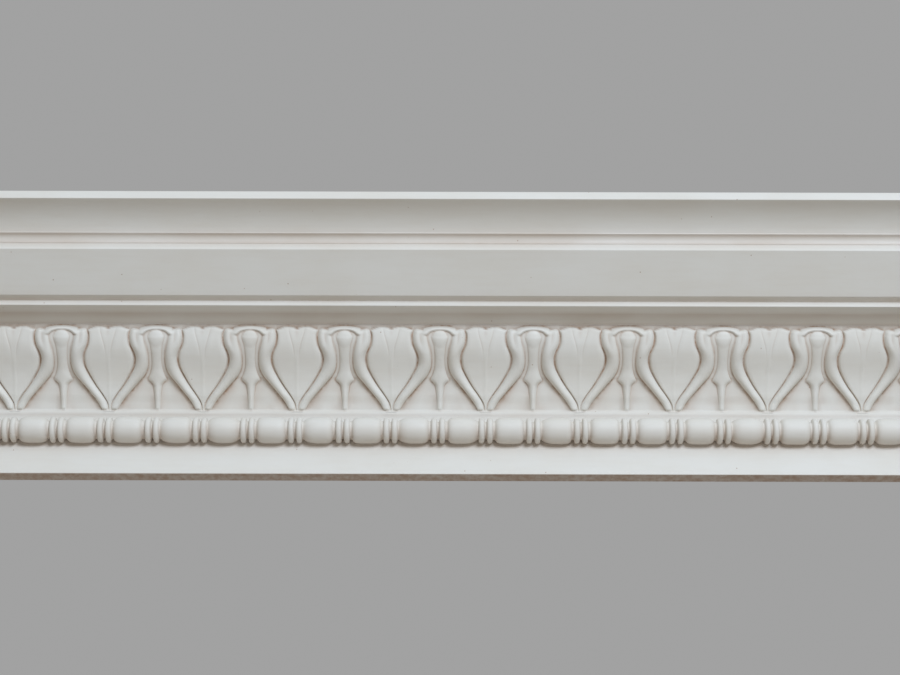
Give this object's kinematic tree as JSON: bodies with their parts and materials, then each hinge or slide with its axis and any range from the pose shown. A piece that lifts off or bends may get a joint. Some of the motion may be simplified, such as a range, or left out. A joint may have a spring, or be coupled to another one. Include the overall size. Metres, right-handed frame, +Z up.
{
  "type": "plaster cornice moulding",
  "caption": "Straight length of plaster cornice with plain cavettos and fillets over a leaf-and-dart wave, a bead and reel and a plain wall band.",
  "frame": {"origin": "middle of the strip that is stuck to the wall, at mid length, on the wall plane", "axes": "+X along the wall, +Z up to the ceiling, the moulding faces -Y and the wall is on the +Y side"},
  "size_m": [0.5, 0.102, 0.1115],
  "materials": {
    "plaster": "matt cast plaster, smooth face, off-white"
  },
  "bodies": {
    "root": {"cornice_moulding": "plaster"}
  },
  "joints": []
}
